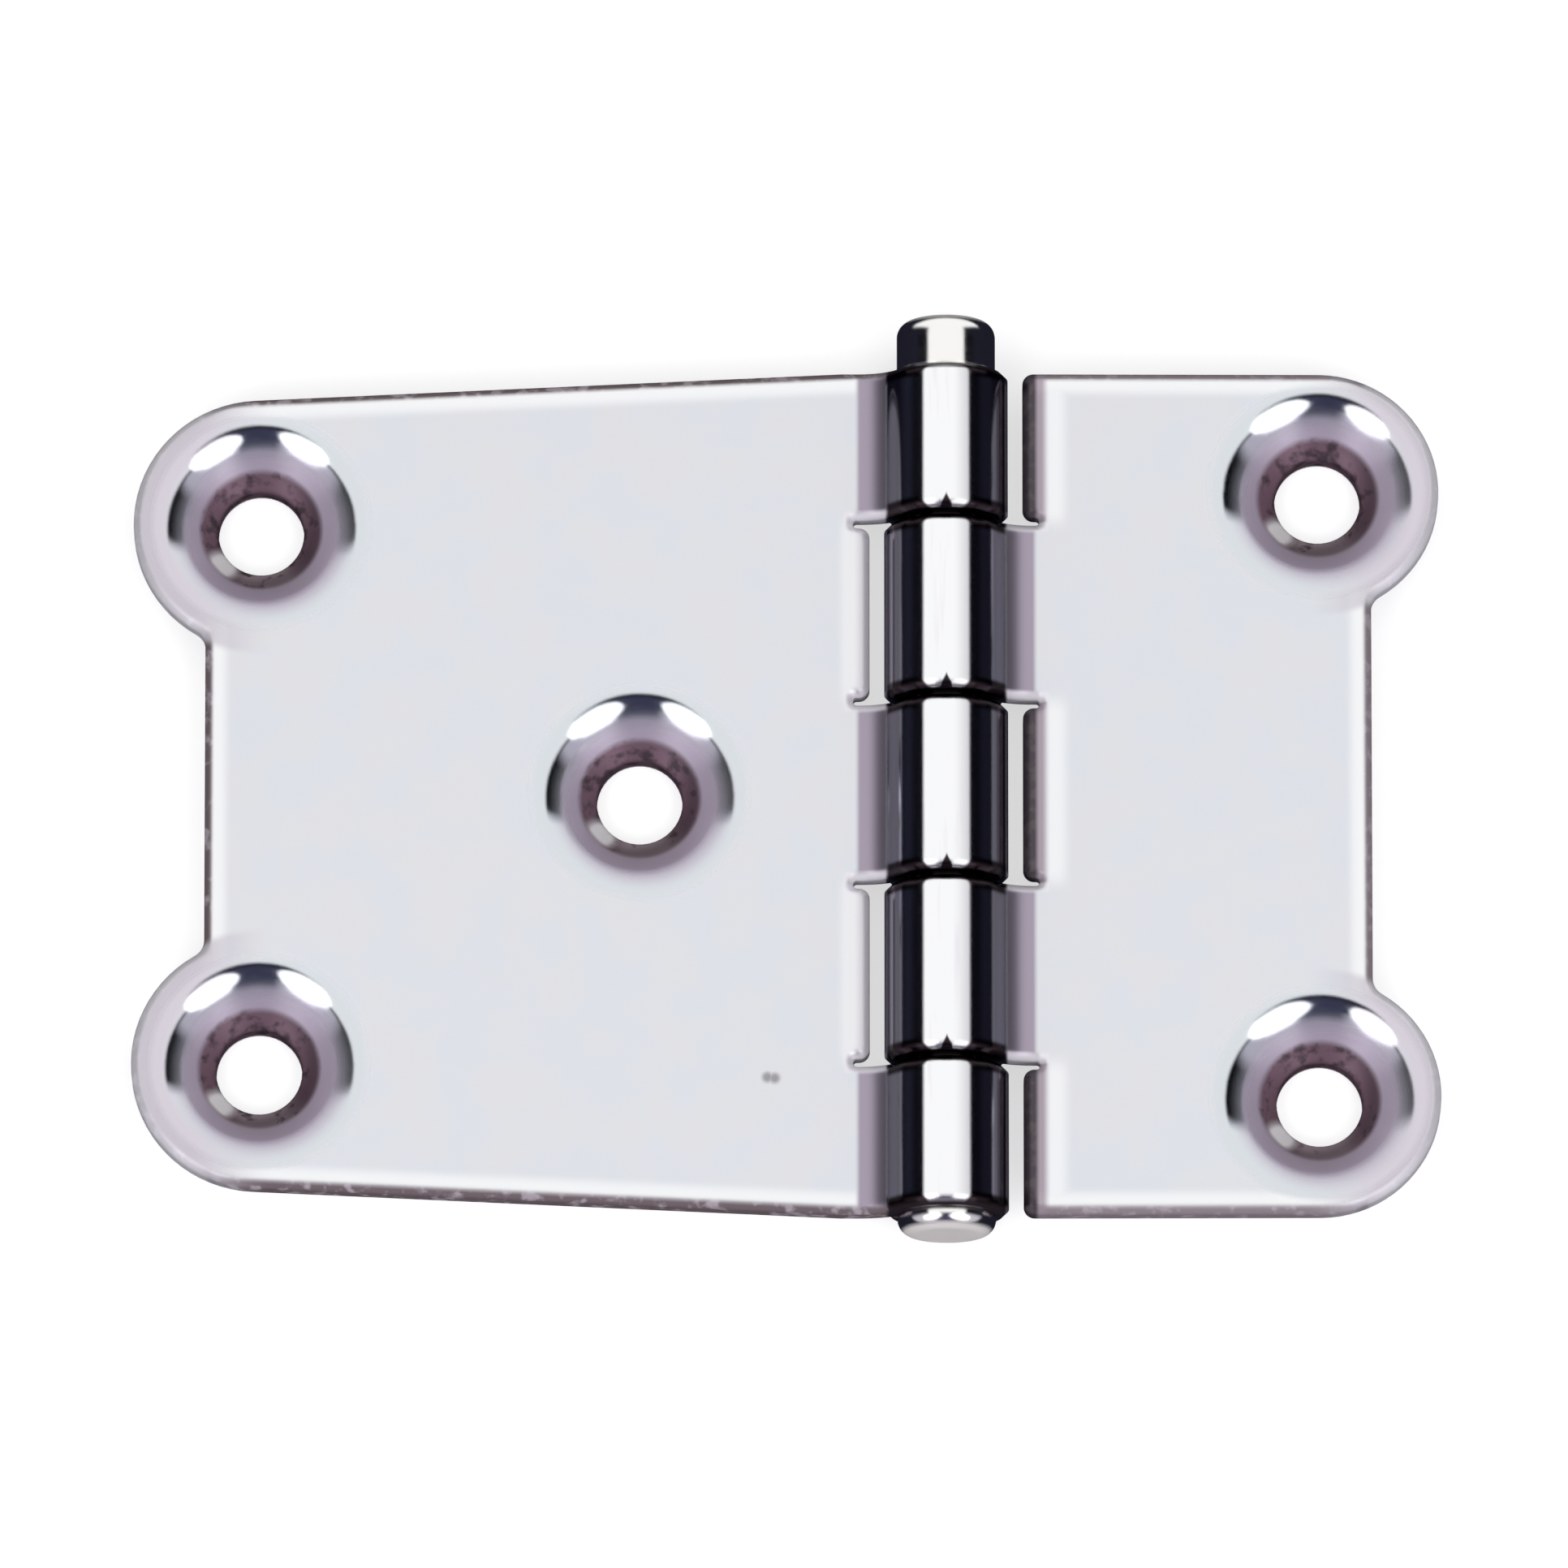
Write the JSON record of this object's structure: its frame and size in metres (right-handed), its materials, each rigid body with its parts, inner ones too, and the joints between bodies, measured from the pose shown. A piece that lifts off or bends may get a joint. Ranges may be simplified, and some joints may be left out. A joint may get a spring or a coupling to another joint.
{
  "type": "short-side butt hinge",
  "caption": "Stamped marine butt hinge with one long and one short leaf, round ears, pressed screw dimples and rolled knuckles on a headed pin.",
  "frame": {"origin": "on the pin's axis, halfway along the barrel", "axes": "+X towards the short leaf, +Y along the pin towards its taller head, +Z out of the front of the open hinge"},
  "size_m": [0.0716, 0.0513, 0.0068],
  "materials": {
    "leaf": "bright plated sheet",
    "pin": "bright turned"
  },
  "bodies": {
    "fixed_leaf": {"long_leaf": "leaf", "pin": "pin"},
    "swing_leaf": {"short_leaf": "leaf"}
  },
  "joints": [
    {"name": "hinge", "type": "hinge", "parent": "fixed_leaf", "child": "swing_leaf", "pos_m": [0, 0, 0], "axis": [0, -1, 0], "range_deg": [-158, 158]}
  ]
}
